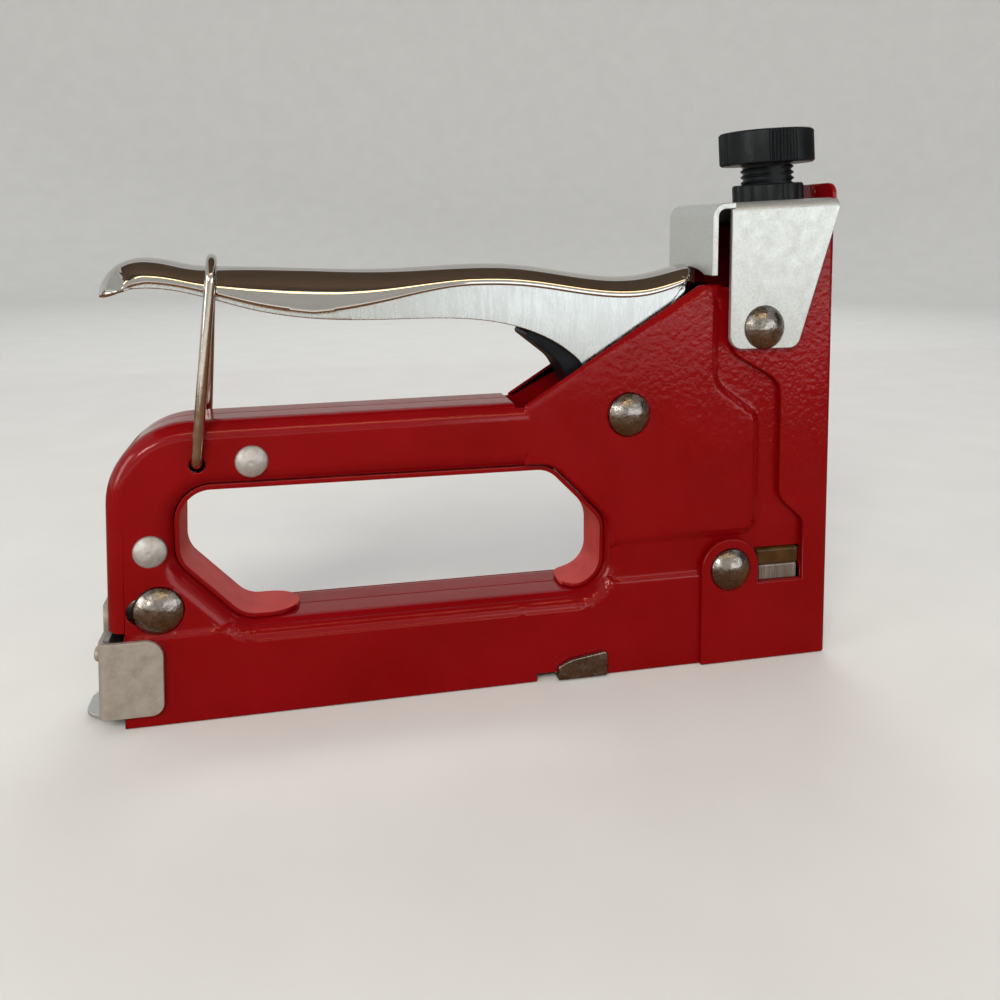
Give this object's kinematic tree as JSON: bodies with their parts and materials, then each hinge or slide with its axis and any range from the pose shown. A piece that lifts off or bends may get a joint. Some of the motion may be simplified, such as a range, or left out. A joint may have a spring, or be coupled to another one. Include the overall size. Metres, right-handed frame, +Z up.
{
  "type": "staple tacker",
  "caption": "Hand staple tacker with pressed red body, chromed squeeze lever, wire bail, adjusting knob on a bright bracket and a pull-out staple magazine.",
  "frame": {"origin": "middle of the length and width, on the plane of the base", "axes": "+X along the body towards the nose, +Y across it to its left-hand side, +Z up"},
  "size_m": [0.1824, 0.031, 0.1375],
  "materials": {
    "red_enamel": "gloss",
    "liner_red": "matt",
    "chrome": "mirror",
    "nickelled_steel": "polished",
    "zinc_plate": "satin",
    "bare_aluminium": "satin",
    "black_plastic": "satin",
    "dark_steel": "satin",
    "spring_steel": "satin",
    "amber_rubber": "satin"
  },
  "bodies": {
    "body": {"right_shell": "red_enamel", "left_shell": "red_enamel", "handle_liner": "liner_red", "front_plate": "red_enamel", "top_bracket": "zinc_plate", "knob_bush": "black_plastic", "buffer": "amber_rubber", "buffer_support": "zinc_plate", "lever_pivot_rivet": "nickelled_steel", "bracket_rivet": "nickelled_steel", "nose_rivet": "nickelled_steel", "rear_rivet": "nickelled_steel", "handle_rivets": "bare_aluminium", "magazine_channel": "zinc_plate", "main_spring": "spring_steel", "lever_return_spring": "spring_steel"},
    "lever": {"lever": "chrome", "lifter_arm": "dark_steel", "pivot_bush": "dark_steel"},
    "striker": {"plunger": "dark_steel", "driver_blade": "spring_steel"},
    "seat": {"spring_seat": "dark_steel"},
    "knob": {"adjusting_knob": "black_plastic"},
    "magazine": {"staple_rail": "zinc_plate", "guide_rod": "spring_steel", "rear_cap": "zinc_plate", "cap_rivets": "zinc_plate", "latch_pin": "zinc_plate", "follower_spring": "spring_steel"},
    "follower": {"follower": "zinc_plate"},
    "latch": {"latch_tongue": "zinc_plate"},
    "bail": {"wire_bail": "nickelled_steel"}
  },
  "joints": [
    {"name": "lever_squeeze", "type": "hinge", "parent": "body", "child": "lever", "pos_m": [0.03585, 0, 0.0652], "axis": [0, -1, 0], "range_deg": [0, 14], "stiffness_Nm_per_rad": 1.2, "springref_deg": -20.05, "deforming": ["lever_return_spring"]},
    {"name": "striker_lift", "type": "slide", "parent": "body", "child": "striker", "axis": [0, 0, 1], "range_m": [0, 0.01], "deforming": ["main_spring"]},
    {"name": "seat_slide", "type": "slide", "parent": "body", "child": "seat", "axis": [-0.061, 0, 0.9981], "range_m": [-0.0041, 0.00299], "deforming": ["main_spring"]},
    {"name": "knob_turn", "type": "hinge", "parent": "seat", "child": "knob", "pos_m": [0.07825, 0, 0.1186], "axis": [-0.061, 0, 0.9981], "range_deg": [-990, 720]},
    {"name": "magazine_pull", "type": "slide", "parent": "body", "child": "magazine", "axis": [-1, 0, 0], "range_m": [0, 0.11]},
    {"name": "follower_slide", "type": "slide", "parent": "magazine", "child": "follower", "axis": [-1, 0, 0], "range_m": [0, 0.1], "stiffness_N_per_m": 20, "springref_m": -0.05, "deforming": ["follower_spring"]},
    {"name": "latch_press", "type": "hinge", "parent": "magazine", "child": "latch", "pos_m": [-0.08125, 0, 0.0025], "axis": [0, 1, 0], "range_deg": [0, 8], "stiffness_Nm_per_rad": 0.002, "springref_deg": -5.73},
    {"name": "bail_swing", "type": "hinge", "parent": "body", "child": "bail", "pos_m": [-0.06585, 0, 0.0584], "axis": [0, 1, 0], "range_deg": [-2, 4]}
  ],
  "couplings": [
    {"joint": "striker_lift", "follows": "lever_squeeze", "m_per_rad": 0.0404},
    {"joint": "knob_turn", "follows": "seat_slide", "rad_per_m": 4188.8}
  ]
}
